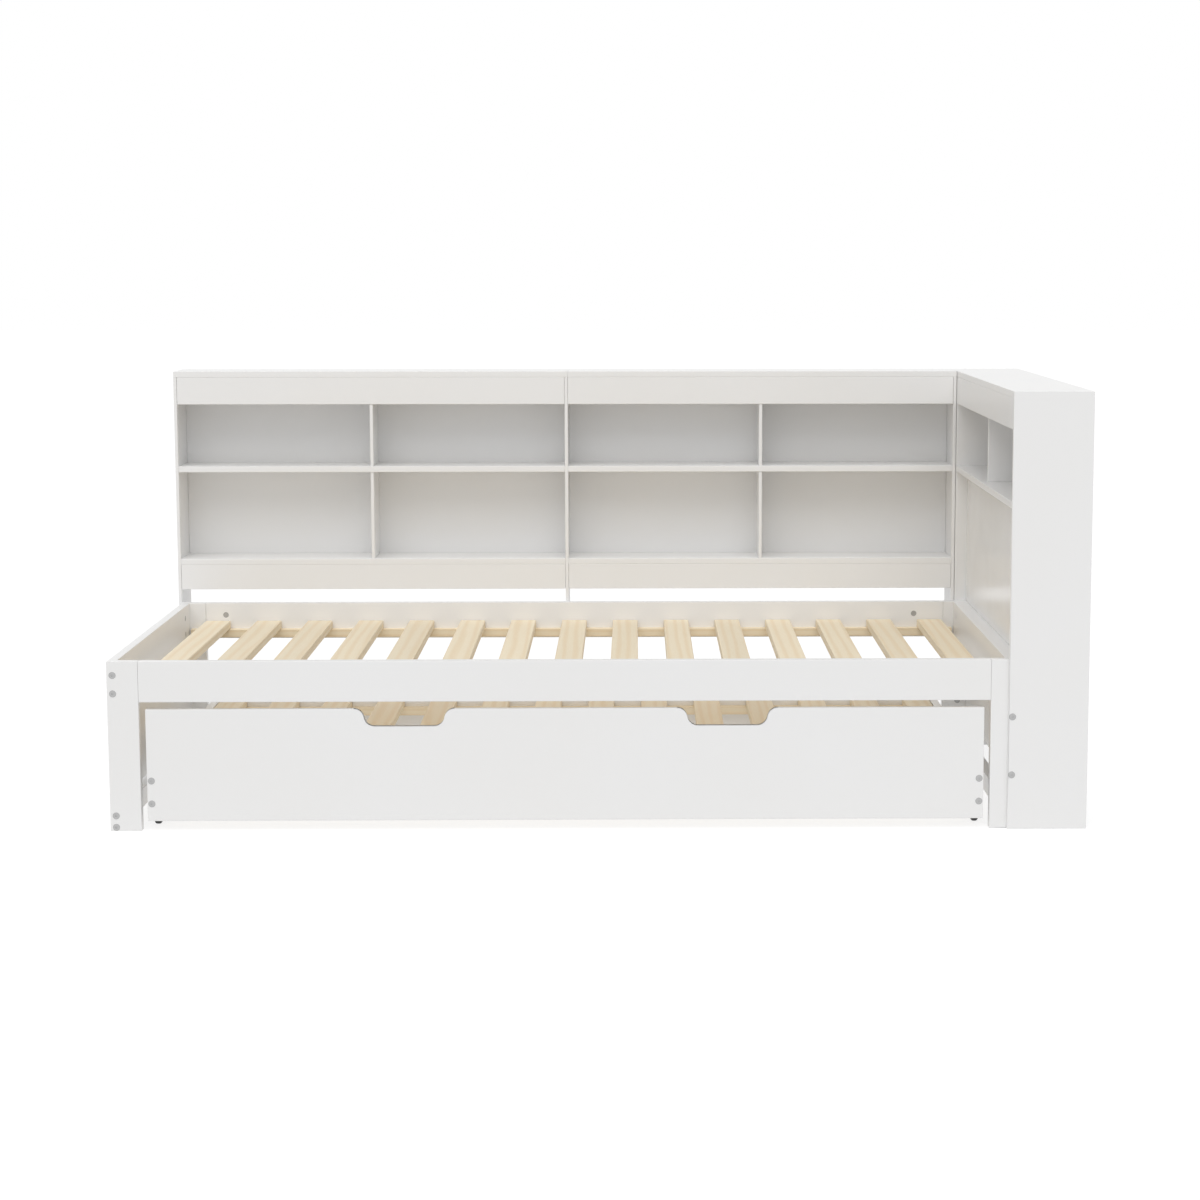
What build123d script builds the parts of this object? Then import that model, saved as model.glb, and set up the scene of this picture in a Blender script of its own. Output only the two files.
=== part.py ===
from build123d import *
import os

# A single daybed of painted boards on flat legs, with a trundle that rolls out from under it,
# a two-bay shelf unit standing behind it and a shelf headboard at its right end.
# Millimetres. While building, X = 0 is the bed's left end, Y = 0 its front face, Z = 0 the floor.
# The finished pieces are moved so that the origin is under the middle of the whole object.

# Bed frame
bed_length = 2000.0
bed_depth = 1055.0
bed_height = 376.0
leg_width = 68.0
back_leg_width = 61.0
leg_thickness = 25.0
rail_height = 90.0
rail_thickness = 25.0
rail_end_gap = 0.4
end_left_thickness = 20.0
end_left_bottom = 61.0
end_right_thickness = 35.0
end_right_height = 90.0
stretcher_height = 44.0
stretcher_thickness = 25.0

# Bed slats and the ledgers under them
slat_count = 15
slat_width = 63.0
slat_thickness = 20.0
slat_drop = 44.7
slat_margin_left = 41.0
slat_margin_right = 30.0
slat_end_gap = 2.0
ledger_height = 20.0
ledger_width = 22.0
ledger_end_gap = 5.0

# Flat-headed bolts, studs, the barrel nuts that they screw into, and dowels
bolt_head_diameter = 15.0
bolt_head_thickness = 2.8
bolt_sink = 0.2
bolt_diameter = 6.0
bolt_socket = 5.0
bolt_socket_depth = 1.8
bolt_hole_clearance = 0.2
head_clearance = 0.3
nut_diameter = 14.0
nut_length = 14.0
rail_nut_length = 22.0
nut_clearance = 0.15
nut_setback = 92.0
nut_bolt_overrun = 9.0
end_bolt_inset = 12.7
end_bolt_drops = (30.5, 71.0)
stretcher_bolt_low = 8.5
stretcher_bolt_drop = 10.0
stud_drop = 30.5
stud_grip = 30.0
stud_clearance = 0.15
stud_nut_left = 112.0
stud_nut_right = 136.0
dowel_diameter = 8.0
dowel_length = 40.0
dowel_clearance = 0.1
dowel_end_gap = 0.5
dowel_drop = 62.0

# Shelf unit behind the bed
unit_overhang = 10.5
unit_depth = 150.0
total_height = 961.0
upright_thickness = 8.0
board_thickness = 15.0
back_thickness = 8.0
divider_recess = 2.0
fascia_height = 68.0
fascia_end_gap = 0.5
upper_cubby_height = 156.5
lower_cubby_height = 220.5
apron_height = 63.0

# Headboard at the right end
headboard_depth = 175.0
headboard_overlap = 30.0
side_thickness = 11.0
unit_gap = 1.0
panel_thickness = 8.0
panel_bottom = 82.0
divider_centre = 537.0
headboard_bolt_drops = (255.0, 126.0)
headboard_bolt_inset = 8.5
headboard_bolt_short = 3.0

# Trundle
trundle_side_gap = 14.0
trundle_back_gap = 25.0
trundle_front_bottom = 22.0
trundle_front_gap = 16.0
trundle_front_thickness = 18.0
trundle_board_height = 100.0
trundle_board_thickness = 19.0
trundle_slat_count = 14
trundle_slat_width = 65.0
trundle_slat_margin = 1.5
trundle_screw_length = 66.0
trundle_screw_inset = 24.5
pull_spacing = 708.0
pull_width = 222.0
pull_flat = 130.0
pull_depth = 39.0
cutter_overrun = 5.0

# Casters under the trundle's side boards
wheel_radius = 15.0
wheel_width = 16.0
wheel_rounding = 6.0
wheel_side_gap = 0.5
wheel_top_gap = 3.5
caster_setback = 82.0
axle_diameter = 5.0
axle_clearance = 0.05
axle_head_diameter = 8.0
axle_head_thickness = 1.0
fork_plate_length = 50.0
fork_plate_thickness = 2.5
fork_cheek_thickness = 1.5
fork_cheek_radius = 8.0
fork_screw_spacing = 40.0
fork_screw_diameter = 3.5
fork_screw_head_diameter = 7.0
fork_screw_head_thickness = 1.5
fork_screw_length = 16.0
fork_screw_clearance = 0.15

# Places worked out from the sizes above
inner_left = end_left_thickness
inner_right = bed_length - end_right_thickness
back_inner = bed_depth - leg_thickness
rail_bottom = bed_height - rail_height
slat_top = bed_height - slat_drop
ledger_top = slat_top - slat_thickness
board_top = total_height - board_thickness
unit_left = -unit_overhang
unit_right = bed_length - headboard_overlap - unit_gap
unit_back = bed_depth + unit_depth
bay_width = (unit_right - unit_left - 3 * upright_thickness) / 2
head_face = bed_length - headboard_overlap
head_back = head_face + headboard_depth
trundle_left = leg_width + trundle_side_gap
trundle_right = bed_length - trundle_left
trundle_back = bed_depth - leg_thickness - trundle_back_gap
trundle_front_top = rail_bottom - trundle_front_gap
trundle_board_bottom = 2 * wheel_radius + wheel_top_gap + fork_plate_thickness
trundle_board_top = trundle_board_bottom + trundle_board_height
fascia_bottom = board_top - fascia_height
middle_shelf_top = fascia_bottom - upper_cubby_height
middle_shelf_bottom = middle_shelf_top - board_thickness
bottom_shelf_top = middle_shelf_bottom - lower_cubby_height
bottom_shelf_bottom = bottom_shelf_top - board_thickness
apron_bottom = bottom_shelf_bottom - apron_height

nodes = {}


def block(x, y, z):
    """A board between two faces along each axis."""
    centre = Pos((x[0] + x[1]) / 2, (y[0] + y[1]) / 2, (z[0] + z[1]) / 2)
    return centre * Box(abs(x[1] - x[0]), abs(y[1] - y[0]), abs(z[1] - z[0]))


def rod(start, direction, length, diameter):
    """A round bar that starts at a point and runs along a direction."""
    plane = Plane(origin=start, z_dir=direction)
    return plane * Cylinder(diameter / 2, length, align=(Align.CENTER, Align.CENTER, Align.MIN))


def along(start, direction, distance):
    """The point at a distance from another point along a direction."""
    return tuple(s + d * distance for s, d in zip(start, direction))


def bolt(face_point, direction, shank_length):
    """A flat-headed bolt with a hexagon socket, its head just below the board's face."""
    head_start = along(face_point, direction, bolt_sink)
    shank_start = along(head_start, direction, bolt_head_thickness)
    head = rod(head_start, direction, bolt_head_thickness, bolt_head_diameter)
    shank = rod(shank_start, direction, shank_length, bolt_diameter)
    socket = Plane(origin=head_start, z_dir=direction) * extrude(
        RegularPolygon(bolt_socket / 2, 6, major_radius=False), bolt_socket_depth
    )
    return head + shank - socket


def bolt_hole(face_point, direction, shank_length):
    """The counterbore and bore that a bolt passes through, from the board's face."""
    head_depth = bolt_sink + bolt_head_thickness
    counterbore = rod(face_point, direction, head_depth, bolt_head_diameter + 2 * head_clearance)
    bore = rod(
        face_point,
        direction,
        head_depth + shank_length + bolt_hole_clearance,
        bolt_diameter + 2 * bolt_hole_clearance,
    )
    return counterbore + bore


def barrel_nut(centre, nut_direction, bolt_direction, length):
    """A round cross nut with the bolt's hole through it."""
    start = along(centre, nut_direction, -length / 2)
    body = rod(start, nut_direction, length, nut_diameter)
    hole_start = along(centre, bolt_direction, -nut_diameter)
    hole = rod(hole_start, bolt_direction, 2 * nut_diameter, bolt_diameter + 2 * nut_clearance)
    return body - hole


def nut_hole(centre, nut_direction, face_distance, length):
    """The round pocket of a barrel nut, open at the board's inner face."""
    start = along(centre, nut_direction, -length / 2)
    return rod(start, nut_direction, length / 2 + face_distance, nut_diameter + 2 * nut_clearance)


def group(solids):
    """Separate solids that share one node."""
    return Compound([solid for item in solids for solid in item.solids()])


def bolt_shank(setback):
    """The shank that reaches through a barrel nut at a distance from the face."""
    return setback + nut_bolt_overrun - bolt_sink - bolt_head_thickness


def frame_joints():
    """Every long bolt of the frame: face point, direction, setback of its nut, direction and
    distance from the nut's centre to the inner face that its pocket opens in, nut's length."""
    joints = []
    right_inset = bed_length - end_bolt_inset
    for face, direction in ((0.0, (0, 1, 0)), (bed_depth, (0, -1, 0))):
        for drop in end_bolt_drops:
            height = bed_height - drop
            left = (end_bolt_inset, face, height)
            right = (right_inset, face, height)
            for point, inward, reach in (
                (left, (1, 0, 0), inner_left - end_bolt_inset),
                (right, (-1, 0, 0), right_inset - inner_right),
            ):
                joints.append((point, direction, nut_setback, inward, reach, nut_length))
        for height in (stretcher_bolt_low, stretcher_height - stretcher_bolt_drop):
            reach = stretcher_thickness - end_bolt_inset
            left = (end_bolt_inset, face, height)
            right = (right_inset, face, height)
            for point, inward in ((left, (1, 0, 0)), (right, (-1, 0, 0))):
                joints.append((point, direction, nut_setback, inward, reach, nut_length))
    return joints


def rail_studs():
    """Every headless stud between a leg's edge and a rail: where it starts, its direction and
    length, its nut's centre and the direction of the rail's inner face."""
    height = bed_height - stud_drop
    half = rail_thickness / 2
    rows = ((half, leg_width, (0, 1, 0)), (bed_depth - half, back_leg_width, (0, -1, 0)))
    studs = []
    for middle, width, inward in rows:
        for start, nut, direction in (
            (width - stud_grip, stud_nut_left, (1, 0, 0)),
            (bed_length - width + stud_grip, bed_length - stud_nut_right, (-1, 0, 0)),
        ):
            length = abs(nut - start) + nut_bolt_overrun
            studs.append(((start, middle, height), direction, length, (nut, middle, height), inward))
    return studs


def headboard_joints():
    """The bolts that hold the headboard's sides to the right legs: face point and shank length."""
    through = side_thickness + leg_thickness - bolt_head_thickness - bolt_sink - headboard_bolt_short
    x = head_face + headboard_bolt_inset
    bolts = []
    for face in (-side_thickness, back_inner):
        for drop in headboard_bolt_drops:
            bolts.append(((x, face, bed_height - drop), (0, 1, 0), through))
    return bolts


def dowels():
    """Where each dowel between a rail and a leg starts."""
    height = bed_height - dowel_drop
    places = []
    half = rail_thickness / 2
    for middle, width in ((half, leg_width), (bed_depth - half, back_leg_width)):
        for edge in (width, bed_length - width):
            places.append((edge - dowel_length / 2, middle, height))
    return places


def drill(board):
    """A frame board with the holes of every bolt, nut and dowel that enters it."""
    for face, direction, setback, nut_direction, reach, length in frame_joints():
        board -= bolt_hole(face, direction, bolt_shank(setback))
        board -= nut_hole(along(face, direction, setback), nut_direction, reach, length)
    for start, direction, length, nut, inward in rail_studs():
        hole_start = along(start, direction, -stud_clearance)
        hole_length = length + 2 * stud_clearance
        board -= rod(hole_start, direction, hole_length, bolt_diameter + 2 * stud_clearance)
        board -= nut_hole(nut, inward, rail_thickness / 2, rail_nut_length)
    for face, direction, shank in headboard_joints():
        board -= bolt_hole(face, direction, shank)
    for start in dowels():
        hole_start = along(start, (1, 0, 0), -dowel_end_gap)
        hole_length = dowel_length + 2 * dowel_end_gap
        board -= rod(hole_start, (1, 0, 0), hole_length, dowel_diameter + 2 * dowel_clearance)
    return board


def make_frame():
    """Legs, rails, end boards and stretchers of the bed, with their bolts, nuts and dowels."""
    rows = {
        "front": (leg_width, (0.0, leg_thickness), (0.0, rail_thickness)),
        "back": (back_leg_width, (back_inner, bed_depth), (bed_depth - rail_thickness, bed_depth)),
    }
    for row, (width, leg_y, rail_y) in rows.items():
        for end, x in (("left", (0.0, width)), ("right", (bed_length - width, bed_length))):
            nodes[f"leg_{row}_{end}"] = drill(block(x, leg_y, (0.0, bed_height)))
        rail_x = (width + rail_end_gap, bed_length - width - rail_end_gap)
        nodes[f"rail_{row}"] = drill(block(rail_x, rail_y, (rail_bottom, bed_height)))
    between = (leg_thickness, back_inner)
    nodes["end_panel_left"] = drill(
        block((0.0, inner_left), between, (end_left_bottom, bed_height))
    )
    nodes["end_rail_right"] = drill(
        block((inner_right, bed_length), between, (bed_height - end_right_height, bed_height))
    )
    stretcher_z = (0.0, stretcher_height)
    nodes["stretcher_left"] = drill(block((0.0, stretcher_thickness), between, stretcher_z))
    nodes["stretcher_right"] = drill(
        block((bed_length - stretcher_thickness, bed_length), between, stretcher_z)
    )
    nodes["frame_bolts"] = group(
        [
            bolt(face, direction, bolt_shank(setback))
            for face, direction, setback, nut_direction, reach, length in frame_joints()
        ]
        + [
            rod(start, direction, length, bolt_diameter)
            for start, direction, length, nut, inward in rail_studs()
        ]
    )
    nodes["barrel_nuts"] = group(
        [
            barrel_nut(along(face, direction, setback), nut_direction, direction, length)
            for face, direction, setback, nut_direction, reach, length in frame_joints()
        ]
        + [
            barrel_nut(nut, inward, direction, rail_nut_length)
            for start, direction, length, nut, inward in rail_studs()
        ]
    )
    nodes["rail_dowels"] = group(
        rod(start, (1, 0, 0), dowel_length, dowel_diameter) for start in dowels()
    )


def slats(first, last, count, width, y, top):
    """A row of equal slats between two ends, evenly spread."""
    pitch = (last - first - width) / (count - 1)
    lefts = [first + index * pitch for index in range(count)]
    return group(block((left, left + width), y, (top - slat_thickness, top)) for left in lefts)


def make_bed_base():
    """The ledgers inside the front and back rails and the slats that lie on them."""
    ledger_x = (inner_left + ledger_end_gap, inner_right - ledger_end_gap)
    ledger_z = (ledger_top - ledger_height, ledger_top)
    front = rail_thickness
    back = bed_depth - rail_thickness
    nodes["ledger_front"] = block(ledger_x, (front, front + ledger_width), ledger_z)
    nodes["ledger_back"] = block(ledger_x, (back - ledger_width, back), ledger_z)
    nodes["bed_slats"] = slats(
        inner_left + slat_margin_left,
        inner_right - slat_margin_right,
        slat_count,
        slat_width,
        (front + slat_end_gap, back - slat_end_gap),
        slat_top,
    )


def make_shelf_unit():
    """The two-bay shelf unit that stands behind the bed."""
    y = (bed_depth, unit_back)
    shelf_y = (bed_depth, unit_back - back_thickness)
    front_y = (bed_depth, bed_depth + board_thickness)
    divider_y = (bed_depth + divider_recess, unit_back - back_thickness)
    back_y = (unit_back - back_thickness, unit_back)
    step = bay_width + upright_thickness
    for index, name in enumerate(("left", "centre", "right")):
        x = unit_left + index * step
        nodes[f"unit_upright_{name}"] = block((x, x + upright_thickness), y, (0.0, board_top))
    seam = unit_left + step + upright_thickness
    for name, x in (("left", (unit_left, seam)), ("right", (seam, unit_right))):
        nodes[f"unit_top_{name}"] = block(x, y, (board_top, total_height))
    for index, name in enumerate(("left", "right")):
        low = unit_left + upright_thickness + index * step
        bay = (low, low + bay_width)
        middle = (bay[0] + bay[1]) / 2
        divider = (middle - upright_thickness / 2, middle + upright_thickness / 2)
        fascia = (bay[0] + fascia_end_gap, bay[1] - fascia_end_gap)
        nodes[f"unit_fascia_{name}"] = block(fascia, front_y, (fascia_bottom, board_top))
        nodes[f"unit_shelf_{name}"] = block(bay, shelf_y, (middle_shelf_bottom, middle_shelf_top))
        nodes[f"unit_bottom_{name}"] = block(bay, shelf_y, (bottom_shelf_bottom, bottom_shelf_top))
        nodes[f"unit_apron_{name}"] = block(fascia, front_y, (apron_bottom, bottom_shelf_bottom))
        nodes[f"unit_back_{name}"] = block(bay, back_y, (apron_bottom, board_top))
        upper = block(divider, divider_y, (middle_shelf_top, board_top))
        notch = block(divider, front_y, (fascia_bottom, board_top))
        nodes[f"unit_divider_upper_{name}"] = upper - notch
        nodes[f"unit_divider_lower_{name}"] = block(
            divider, divider_y, (bottom_shelf_top, middle_shelf_bottom)
        )


def make_headboard():
    """The shelf headboard, which stands against the bed's right end and closes the corner."""
    x = (head_face, head_back)
    inside_x = (head_face, head_back - back_thickness)
    front_x = (head_face, head_face + board_thickness)
    inner_wall = (bed_depth, bed_depth + side_thickness)
    side = block(x, (-side_thickness, 0.0), (0.0, total_height))
    wall = block(inside_x, inner_wall, (0.0, board_top))
    for face, direction, shank in headboard_joints():
        side -= bolt_hole(face, direction, shank)
        wall -= bolt_hole(face, direction, shank)
    nodes["headboard_side_front"] = side
    nodes["headboard_inner_wall"] = wall
    nodes["headboard_side_back"] = block(
        x, (unit_back - side_thickness, unit_back), (0.0, total_height)
    )
    whole_y = (0.0, unit_back - side_thickness)
    cubby_y = (0.0, bed_depth)
    nodes["headboard_top"] = block(x, whole_y, (board_top, total_height))
    nodes["headboard_fascia"] = block(front_x, cubby_y, (fascia_bottom, board_top))
    nodes["headboard_shelf"] = block(inside_x, cubby_y, (middle_shelf_bottom, middle_shelf_top))
    nodes["headboard_divider"] = block(
        (front_x[1], inside_x[1]),
        (divider_centre - upright_thickness / 2, divider_centre + upright_thickness / 2),
        (middle_shelf_top, board_top),
    )
    nodes["headboard_back"] = block((inside_x[1], head_back), whole_y, (panel_bottom, board_top))
    nodes["headboard_panel"] = block(
        (bed_length, bed_length + panel_thickness), cubby_y, (panel_bottom, middle_shelf_bottom)
    )
    nodes["headboard_bolts"] = group(
        bolt(face, direction, shank) for face, direction, shank in headboard_joints()
    )


def pull_cutter(centre):
    """The hand cut-out in the trundle's front: a flat floor with an S-shaped run up each side."""
    top = trundle_front_top
    floor = top - pull_depth
    with BuildSketch(Plane.XZ) as sketch:
        with BuildLine():
            for side in (-1, 1):
                lip = (centre + side * pull_width / 2, top)
                foot = (centre + side * pull_flat / 2, floor)
                middle = ((lip[0] + foot[0]) / 2, (lip[1] + foot[1]) / 2)
                TangentArc(lip, middle, tangent=(-side, 0))
                TangentArc(foot, middle, tangent=(side, 0))
                Line(lip, (lip[0], top + cutter_overrun))
            Line((centre - pull_flat / 2, floor), (centre + pull_flat / 2, floor))
            Line(
                (centre - pull_width / 2, top + cutter_overrun),
                (centre + pull_width / 2, top + cutter_overrun),
            )
        make_face()
    return extrude(sketch.sketch, 2 * trundle_front_thickness, both=True)


def trundle_screws():
    """The screws through the trundle's front and back boards: face point and direction."""
    places = []
    half = trundle_board_thickness / 2
    for x in (trundle_left + half, trundle_right - half):
        for height in (
            trundle_board_bottom + trundle_screw_inset,
            trundle_board_top - trundle_screw_inset,
        ):
            places.append(((x, 0.0, height), (0, 1, 0)))
            places.append(((x, trundle_back, height), (0, -1, 0)))
    return places


def caster_centres():
    """The axle centres of the four casters by name."""
    half = trundle_board_thickness / 2
    depths = {"front": caster_setback, "back": trundle_back - caster_setback}
    ends = {"left": trundle_left + half, "right": trundle_right - half}
    return {f"{a}_{b}": (x, y, wheel_radius) for a, y in depths.items() for b, x in ends.items()}


def fork_screw_starts():
    """Where each caster plate's screws meet the plate's underside."""
    plate_bottom = trundle_board_bottom - fork_plate_thickness
    half = fork_screw_spacing / 2
    centres = caster_centres().values()
    return [(x, y + offset, plate_bottom) for x, y, z in centres for offset in (-half, half)]


def screw_board(board):
    """A trundle board with the holes of its corner screws and caster screws."""
    for face, direction in trundle_screws():
        board -= bolt_hole(face, direction, trundle_screw_length)
    for start in fork_screw_starts():
        diameter = fork_screw_diameter + 2 * fork_screw_clearance
        length = fork_plate_thickness + fork_screw_length + fork_screw_clearance
        board -= rod(start, (0, 0, 1), length, diameter)
    return board


def make_trundle():
    """The trundle: a tall front with two hand cut-outs, three low boards, ledgers and slats."""
    x = (trundle_left, trundle_right)
    low_z = (trundle_board_bottom, trundle_board_top)
    back_y = (trundle_back - trundle_board_thickness, trundle_back)
    side_y = (trundle_front_thickness, back_y[0])
    front = block(x, (0.0, trundle_front_thickness), (trundle_front_bottom, trundle_front_top))
    middle = (trundle_left + trundle_right) / 2
    for side in (-1, 1):
        front -= pull_cutter(middle + side * pull_spacing / 2)
    nodes["trundle_front"] = screw_board(front)
    nodes["trundle_back"] = screw_board(block(x, back_y, low_z))
    inner = (x[0] + trundle_board_thickness, x[1] - trundle_board_thickness)
    nodes["trundle_side_left"] = screw_board(block((x[0], inner[0]), side_y, low_z))
    nodes["trundle_side_right"] = screw_board(block((inner[1], x[1]), side_y, low_z))
    ledger_z = (
        trundle_board_top - slat_thickness - ledger_height,
        trundle_board_top - slat_thickness,
    )
    nodes["trundle_ledger_front"] = block(inner, (side_y[0], side_y[0] + ledger_width), ledger_z)
    nodes["trundle_ledger_back"] = block(inner, (side_y[1] - ledger_width, side_y[1]), ledger_z)
    nodes["trundle_slats"] = slats(
        inner[0] + trundle_slat_margin,
        inner[1] - trundle_slat_margin,
        trundle_slat_count,
        trundle_slat_width,
        (side_y[0] + slat_end_gap, side_y[1] - slat_end_gap),
        trundle_board_top,
    )
    nodes["trundle_screws"] = group(
        bolt(face, direction, trundle_screw_length) for face, direction in trundle_screws()
    )


def fork(centre):
    """A bent steel caster bracket: a plate under the board and a cheek each side of the wheel."""
    x, y, z = centre
    inner = wheel_width / 2 + wheel_side_gap
    outer = inner + fork_cheek_thickness
    plate_bottom = trundle_board_bottom - fork_plate_thickness
    half_plate = fork_plate_length / 2
    plate_y = (y - half_plate, y + half_plate)
    body = block((x - outer, x + outer), plate_y, (plate_bottom, trundle_board_bottom))
    for low in (x - outer, x + inner):
        cheek_y = (y - fork_cheek_radius, y + fork_cheek_radius)
        body += block((low, low + fork_cheek_thickness), cheek_y, (z, plate_bottom))
        body += rod((low, y, z), (1, 0, 0), fork_cheek_thickness, 2 * fork_cheek_radius)
    body -= rod((x - outer, y, z), (1, 0, 0), 2 * outer, axle_diameter + 2 * axle_clearance)
    for start in fork_screw_starts():
        if abs(start[0] - x) < outer and abs(start[1] - y) < half_plate:
            diameter = fork_screw_diameter + 2 * fork_screw_clearance
            body -= rod(start, (0, 0, 1), fork_plate_thickness, diameter)
    return body


def axle(centre):
    """A riveted axle through a bracket's cheeks."""
    x, y, z = centre
    half = wheel_width / 2 + wheel_side_gap + fork_cheek_thickness
    body = rod((x - half, y, z), (1, 0, 0), 2 * half, axle_diameter)
    for start in (x - half - axle_head_thickness, x + half):
        body += rod((start, y, z), (1, 0, 0), axle_head_thickness, axle_head_diameter)
    return body


def wheel(centre):
    """A solid wheel with rounded shoulders and a bore for its axle."""
    x, y, z = centre
    tread = rod((x - wheel_width / 2, y, z), (1, 0, 0), wheel_width, 2 * wheel_radius)
    tread = fillet(tread.edges().filter_by(GeomType.CIRCLE), wheel_rounding)
    bore = axle_diameter + 2 * axle_clearance
    return tread - rod((x - wheel_width, y, z), (1, 0, 0), 2 * wheel_width, bore)


def fork_screw(start):
    """A round-headed screw up through a caster's plate into the board."""
    head_start = along(start, (0, 0, -1), fork_screw_head_thickness)
    head = rod(head_start, (0, 0, 1), fork_screw_head_thickness, fork_screw_head_diameter)
    shank = rod(start, (0, 0, 1), fork_plate_thickness + fork_screw_length, fork_screw_diameter)
    return head + shank


def make_casters():
    """Four fixed casters, with wheels that roll front to back."""
    centres = caster_centres()
    nodes["caster_forks"] = group(fork(centre) for centre in centres.values())
    nodes["caster_axles"] = group(axle(centre) for centre in centres.values())
    nodes["caster_screws"] = group(fork_screw(start) for start in fork_screw_starts())
    for name, centre in centres.items():
        nodes[f"wheel_{name}"] = wheel(centre)


def write_nodes():
    """Each node as a STEP file, moved so that the origin is under the object's middle."""
    middle_x = (unit_left + head_back) / 2
    middle_y = (unit_back - side_thickness) / 2
    os.makedirs("parts", exist_ok=True)
    for name, shape in nodes.items():
        export_step(Pos(-middle_x, -middle_y, 0) * shape, f"parts/{name}.step")


make_frame()
make_bed_base()
make_shelf_unit()
make_headboard()
make_trundle()
make_casters()
write_nodes()
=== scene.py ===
import math

import bpy
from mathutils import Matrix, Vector


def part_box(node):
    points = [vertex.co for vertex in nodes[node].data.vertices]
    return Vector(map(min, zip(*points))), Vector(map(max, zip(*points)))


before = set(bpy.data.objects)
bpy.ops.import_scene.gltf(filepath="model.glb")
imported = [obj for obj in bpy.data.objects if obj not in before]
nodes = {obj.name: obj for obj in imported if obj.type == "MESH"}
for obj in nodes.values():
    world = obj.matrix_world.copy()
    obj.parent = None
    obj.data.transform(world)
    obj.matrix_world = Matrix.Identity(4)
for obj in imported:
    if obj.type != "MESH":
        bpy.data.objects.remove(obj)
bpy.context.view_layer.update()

# Light levels: the share of full white that each source gives a surface facing it
WORLD_LEVEL = 0.57
KEY_LEVEL = 0.42
KEY_FROM = (-0.06, -0.52, 0.80)
KEY_SPREAD = 60.0

# The floor, in metres, and how much light it reflects and how much it gives off, first for the
# light that it returns to the object and then for what the camera sees of it
FLOOR_HALF_WIDTH = 40.0
FLOOR_DROP = 0.0003
FLOOR_BOUNCE = (0.34, 0.45)
FLOOR_SEEN = (0.26, 0.82)

# Colours, as linear red, green and blue
WHITE = (0.893, 0.892, 0.890)
WHITE_WARMED_BY = (0.994, 0.990, 0.982)
PINE_LIGHT = (0.930, 0.822, 0.628)
PINE_DARK = (0.800, 0.615, 0.380)
BOLT_GREY = (0.50, 0.50, 0.50)
NUT_GREY = (0.48, 0.48, 0.485)
ZINC_GREY = (0.62, 0.62, 0.63)
RUBBER_DARK = (0.018, 0.018, 0.019)
RUBBER_PALE = (0.032, 0.032, 0.033)

# Lacquer: features per metre, how far fibres are drawn out along the board, and relief in metres
CLOUD_SCALE = 2.5
PEEL_SCALE = 700.0
BOARD_FIBRE_SCALE = 260.0
BOARD_FIBRE_SHARE = 0.05
LACQUER_RELIEF = 0.00012
SATIN_ROUGHNESS = 0.36
GLOSS_ROUGHNESS = 0.22

# Pine: the same, how far each piece's pattern is moved from the others, and how strongly late
# wood and fibres darken it
BEND_SCALE = 9.0
RING_SCALE = 26.0
RING_SHARE = 0.06
PINE_FIBRE_SCALE = 900.0
PINE_FIBRE_SHARE = 0.02
PINE_RELIEF = 0.0002
PIECE_SHIFTS = (37.0, 53.0, 71.0)
PIECE_LEVELS = (0.94, 1.03)
LATE_WOOD_DARKENS = 0.42
FIBRE_DARKENS = 0.18

# Metal and rubber: features per metre and relief in metres
MOTTLE_SCALE = 1400.0
METAL_RELIEF = 0.00005
RUBBER_GRAIN_SCALE = 2200.0
RUBBER_RELIEF = 0.00008
RUBBER_ROUGHNESS = 0.55

# Edges of the boards and slats, in metres and degrees
BOARD_EDGE = 0.0012
SLAT_EDGE = 0.0025
EDGE_SEGMENTS = 3
SHARP_ANGLE = 40.0
FLAT_ANGLE = 0.5
SAME_POINT = 1e-6
SAME_PLACE = 1e-5


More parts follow.
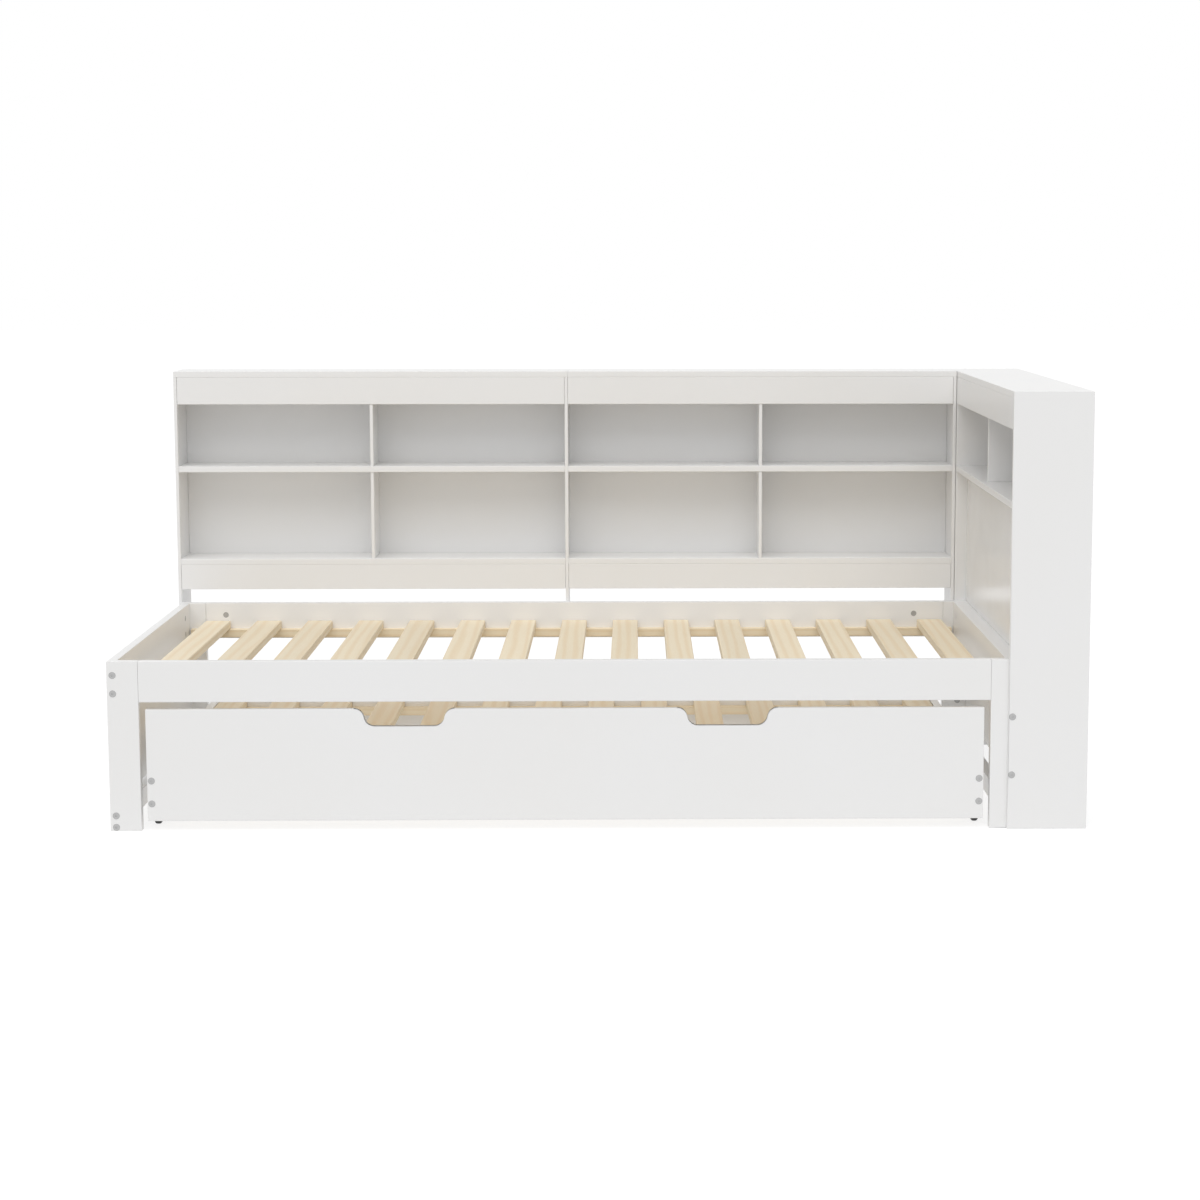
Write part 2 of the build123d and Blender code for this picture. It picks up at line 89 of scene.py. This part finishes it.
class Tree:
    """A material's or world's nodes, added one by one and wired by socket name."""

    def __init__(self, tree):
        self.tree = tree
        tree.nodes.clear()

    def add(self, kind, links=None, **settings):
        node = self.tree.nodes.new(kind)
        for name, value in settings.items():
            setattr(node, name, value)
        for socket, source in (links or {}).items():
            target = node.inputs[socket]
            if isinstance(source, bpy.types.NodeSocket):
                self.tree.links.new(source, target)
            else:
                target.default_value = source
        return node

    def place(self):
        """The place on the object, in metres."""
        return self.add("ShaderNodeTexCoord").outputs["Object"]

    def drawn_out(self, vector, axis, share):
        """A place whose features are drawn out along one axis."""
        scale = [1.0, 1.0, 1.0]
        scale[axis] = share
        return self.add("ShaderNodeMapping", {"Vector": vector, "Scale": scale}).outputs["Vector"]

    def noise(self, vector, scale, detail):
        """A noise value at a number of features per metre."""
        links = {"Vector": vector, "Scale": scale, "Detail": detail}
        return self.add("ShaderNodeTexNoise", links).outputs["Fac"]

    def ramp(self, source, low, high, colours):
        """A colour between two colours, from a value between low and high."""
        node = self.add("ShaderNodeValToRGB", {"Fac": source})
        for element, place, colour in zip(node.color_ramp.elements, (low, high), colours):
            element.position = place
            element.color = (*colour, 1.0)
        return node.outputs["Color"]

    def remap(self, source, low, high, to_low, to_high):
        """A value stretched from one range to another."""
        links = {"Value": source, "From Min": low, "From Max": high, "To Min": to_low, "To Max": to_high}
        return self.add("ShaderNodeMapRange", links).outputs["Result"]

    def mix(self, factor, a, b, blend="MIX"):
        """Two colours mixed by a factor."""
        node = self.add("ShaderNodeMix", data_type="RGBA", blend_type=blend)
        for index, source in ((0, factor), (6, a), (7, b)):
            if isinstance(source, bpy.types.NodeSocket):
                self.tree.links.new(source, node.inputs[index])
            elif index == 0:
                node.inputs[index].default_value = source
            else:
                node.inputs[index].default_value = (*source, 1.0)
        return node.outputs[2]

    def total(self, a, b):
        """The sum of two values."""
        return self.add("ShaderNodeMath", {0: a, 1: b}, operation="ADD").outputs["Value"]

    def seen(self):
        """1 for rays of the camera, of reflections and through glass, and 0 for those that light things."""
        rays = self.add("ShaderNodeLightPath").outputs
        value = rays["Is Camera Ray"]
        for name in ("Is Glossy Ray", "Is Transmission Ray"):
            node = self.add("ShaderNodeMath", {0: value, 1: rays[name]}, operation="MAXIMUM")
            value = node.outputs["Value"]
        return value

    def surface(self, colour, roughness, height, strength, relief, metallic=0.0):
        """The finished surface, with a relief in metres."""
        bump = self.add("ShaderNodeBump", {"Strength": strength, "Distance": relief, "Height": height})
        sockets = {
            "Base Color": colour,
            "Roughness": roughness,
            "Metallic": metallic,
            "Normal": bump.outputs["Normal"],
        }
        shader = self.add("ShaderNodeBsdfPrincipled", sockets)
        self.add("ShaderNodeOutputMaterial", {"Surface": shader.outputs["BSDF"]})


def material(name):
    made = bpy.data.materials.new(name)
    made.use_nodes = True
    return made, Tree(made.node_tree)


def painted(name, roughness, grain_axis):
    """White lacquer over fine board: a trace of roller texture and of the long fibres below."""
    made, tree = material(name)
    place = tree.place()
    cloud = tree.noise(place, CLOUD_SCALE, 3.0)
    peel = tree.noise(place, PEEL_SCALE, 2.0)
    fibre = tree.noise(tree.drawn_out(place, grain_axis, BOARD_FIBRE_SHARE), BOARD_FIBRE_SCALE, 3.0)
    warm = tuple(c * k for c, k in zip(WHITE, WHITE_WARMED_BY))
    tone = tree.ramp(cloud, 0.35, 0.65, (warm, WHITE))
    rough = tree.remap(cloud, 0.3, 0.7, roughness - 0.04, roughness + 0.05)
    tree.surface(tone, rough, tree.total(peel, fibre), 0.25, LACQUER_RELIEF)
    return made


def pine(name, axis):
    """Planed softwood whose growth rings run along one axis, different on every piece."""
    made, tree = material(name)
    chance = tree.add("ShaderNodeNewGeometry").outputs["Random Per Island"]
    offset = tree.add("ShaderNodeCombineXYZ", {"X": chance, "Y": chance, "Z": chance}).outputs["Vector"]
    shift = tree.add("ShaderNodeVectorMath", {0: offset, 1: PIECE_SHIFTS}, operation="MULTIPLY")
    moved = tree.add("ShaderNodeVectorMath", {0: tree.place(), 1: shift.outputs["Vector"]}, operation="ADD")
    moved = moved.outputs["Vector"]
    lengthwise = tree.drawn_out(moved, axis, RING_SHARE)
    bend = tree.noise(lengthwise, BEND_SCALE, 2.0)
    ring_links = {
        "Vector": lengthwise,
        "Scale": RING_SCALE,
        "Distortion": 5.0,
        "Detail": 2.0,
        "Detail Scale": 0.6,
    }
    rings = tree.add("ShaderNodeTexWave", ring_links, wave_type="RINGS", rings_direction="XYZ"[axis])
    rings = rings.outputs["Fac"]
    fibre = tree.noise(tree.drawn_out(moved, axis, PINE_FIBRE_SHARE), PINE_FIBRE_SCALE, 3.0)
    tone = tree.ramp(bend, 0.25, 0.8, (PINE_LIGHT, tuple(0.93 * c for c in PINE_LIGHT)))
    tone = tree.mix(tree.remap(rings, 0.35, 1.0, 0.0, LATE_WOOD_DARKENS), tone, PINE_DARK)
    tone = tree.mix(tree.remap(fibre, 0.35, 0.75, 0.0, FIBRE_DARKENS), tone, PINE_DARK)
    each = tree.remap(chance, 0.0, 1.0, *PIECE_LEVELS)
    level = tree.add("ShaderNodeCombineColor", {"Red": each, "Green": each, "Blue": each}).outputs["Color"]
    tone = tree.mix(1.0, tone, level, "MULTIPLY")
    rough = tree.remap(fibre, 0.3, 0.7, 0.50, 0.62)
    tree.surface(tone, rough, tree.total(rings, fibre), 0.3, PINE_RELIEF)
    return made


def metal(name, colour, roughness):
    """Plated steel with a faint mottle."""
    made, tree = material(name)
    mottle = tree.noise(tree.place(), MOTTLE_SCALE, 3.0)
    tone = tree.ramp(mottle, 0.3, 0.7, (tuple(0.88 * c for c in colour), colour))
    rough = tree.remap(mottle, 0.3, 0.7, roughness - 0.06, roughness + 0.08)
    tree.surface(tone, rough, mottle, 0.15, METAL_RELIEF, metallic=1.0)
    return made


def rubber(name):
    """Dark wheel rubber with a fine matt grain."""
    made, tree = material(name)
    grain = tree.noise(tree.place(), RUBBER_GRAIN_SCALE, 2.0)
    tone = tree.ramp(grain, 0.3, 0.7, (RUBBER_DARK, RUBBER_PALE))
    tree.surface(tone, RUBBER_ROUGHNESS, grain, 0.3, RUBBER_RELIEF)
    return made


paints = [painted("white_lacquer_" + "xyz"[axis], SATIN_ROUGHNESS, axis) for axis in range(3)]
gloss = painted("white_gloss", GLOSS_ROUGHNESS, 1)
pines = {axis: pine("pine_" + "xyz"[axis], axis) for axis in (0, 1)}
bolt_metal = metal("bolt_metal", BOLT_GREY, 0.36)
nut_metal = metal("nut_metal", NUT_GREY, 0.48)
zinc = metal("zinc_plate", ZINC_GREY, 0.30)
wheel_rubber = rubber("wheel_black")

FITTINGS = {
    "frame_bolts": bolt_metal,
    "headboard_bolts": bolt_metal,
    "trundle_screws": bolt_metal,
    "barrel_nuts": nut_metal,
    "caster_forks": zinc,
    "caster_axles": zinc,
    "caster_screws": zinc,
}
SLATS = {"bed_slats": pines[1], "trundle_slats": pines[1]}
LEDGERS = {
    "ledger_front": pines[0],
    "ledger_back": pines[0],
    "trundle_ledger_front": pines[0],
    "trundle_ledger_back": pines[0],
}


def outer_corners(node):
    """The name of a vertex group of the points where at least two outer faces of a board meet."""
    low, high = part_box(node.name)
    outer = []
    for vertex in node.data.vertices:
        sides = sum(
            min(abs(vertex.co[i] - low[i]), abs(vertex.co[i] - high[i])) < SAME_PLACE for i in range(3)
        )
        if sides >= 2:
            outer.append(vertex.index)
    group = node.vertex_groups.new(name="outer")
    group.add(outer, 1.0, "REPLACE")
    return group.name


def soften(node):
    """Rounded edges on a board's outer corners or on every slat, once its flat faces are joined up."""
    weld = node.modifiers.new("weld", "WELD")
    weld.merge_threshold = SAME_POINT
    flat = node.modifiers.new("flat", "DECIMATE")
    flat.decimate_type = "DISSOLVE"
    flat.angle_limit = math.radians(FLAT_ANGLE)
    edges = node.modifiers.new("edges", "BEVEL")
    edges.segments = EDGE_SEGMENTS
    edges.use_clamp_overlap = False
    if node.name in SLATS:
        edges.width = SLAT_EDGE
        edges.limit_method = "ANGLE"
        edges.angle_limit = math.radians(SHARP_ANGLE)
    else:
        edges.width = BOARD_EDGE
        edges.limit_method = "VGROUP"
        edges.vertex_group = outer_corners(node)
    shading = node.modifiers.new("shading", "WEIGHTED_NORMAL")
    shading.keep_sharp = False


def lacquer(name):
    """The lacquer of a board, whose fibres run along its longest side."""
    if name == "headboard_panel":
        return gloss
    low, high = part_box(name)
    size = high - low
    return paints[max(range(3), key=lambda i: size[i])]


def finish_node(name, node):
    """A node's material, and rounded edges if it is a board or slats."""
    node.data.materials.clear()
    if name in FITTINGS:
        node.data.materials.append(FITTINGS[name])
    elif name.startswith("wheel_"):
        node.data.materials.append(wheel_rubber)
    elif name == "rail_dowels":
        node.data.materials.append(pines[0])
    else:
        woods = {**SLATS, **LEDGERS}
        node.data.materials.append(woods[name] if name in woods else lacquer(name))
        soften(node)


def make_floor():
    """A plain pale floor, which looks paler to the camera than to the light that it returns."""
    mesh = bpy.data.meshes.new("floor")
    corners = [
        (x * FLOOR_HALF_WIDTH, y * FLOOR_HALF_WIDTH, -FLOOR_DROP)
        for x, y in ((-1, -1), (1, -1), (1, 1), (-1, 1))
    ]
    mesh.from_pydata(corners, [], [(0, 1, 2, 3)])
    floor = bpy.data.objects.new("floor", mesh)
    bpy.context.scene.collection.objects.link(floor)
    made, tree = material("floor_pale")
    seen = tree.seen()
    reflects, gives = zip(FLOOR_BOUNCE, FLOOR_SEEN)
    colour = tree.mix(seen, (reflects[0],) * 3, (reflects[1],) * 3)
    level = tree.remap(seen, 0.0, 1.0, *gives)
    paint = tree.add("ShaderNodeBsdfDiffuse", {"Color": colour}).outputs["BSDF"]
    glow = tree.add("ShaderNodeEmission", {"Color": (1.0, 1.0, 1.0, 1.0), "Strength": level})
    shader = tree.add("ShaderNodeAddShader", {0: paint, 1: glow.outputs["Emission"]})
    tree.add("ShaderNodeOutputMaterial", {"Surface": shader.outputs["Shader"]})
    mesh.materials.append(made)


def make_light():
    """An even pale surround and one broad soft key from the front and above."""
    world = bpy.data.worlds.new("studio")
    bpy.context.scene.world = world
    world.use_nodes = True
    tree = Tree(world.node_tree)
    level = tree.remap(tree.seen(), 0.0, 1.0, WORLD_LEVEL, 1.0)
    shader = tree.add("ShaderNodeBackground", {"Color": (1.0, 1.0, 1.0, 1.0), "Strength": level})
    tree.add("ShaderNodeOutputWorld", {"Surface": shader.outputs["Background"]})
    lamp = bpy.data.lights.new("key", "SUN")
    lamp.energy = math.pi * KEY_LEVEL
    lamp.angle = math.radians(KEY_SPREAD)
    key = bpy.data.objects.new("key", lamp)
    key.rotation_euler = Vector(KEY_FROM).to_track_quat("Z", "Y").to_euler()
    bpy.context.scene.collection.objects.link(key)


def make_camera():
    """The photograph's viewpoint, found from the edges of the boards in it."""
    focal_pixels = 2789.69
    middle_pixels = (683.65, 660.92)
    image_pixels = 1200.0
    yaw = -0.0180362
    pitch = 0.144683
    data = bpy.data.cameras.new("camera")
    data.sensor_width = 36.0
    data.lens = focal_pixels / image_pixels * data.sensor_width
    data.shift_x = 0.5 - middle_pixels[0] / image_pixels
    data.shift_y = middle_pixels[1] / image_pixels - 0.5
    data.clip_end = 200.0
    camera = bpy.data.objects.new("camera", data)
    camera.location = (0.08175, -6.6252, 1.2529)
    camera.rotation_euler = (math.pi / 2 - pitch, 0.0, yaw)
    bpy.context.scene.collection.objects.link(camera)
    bpy.context.scene.camera = camera


for name, node in nodes.items():
    finish_node(name, node)
make_floor()
make_light()
make_camera()
bpy.context.scene.view_settings.view_transform = "Standard"
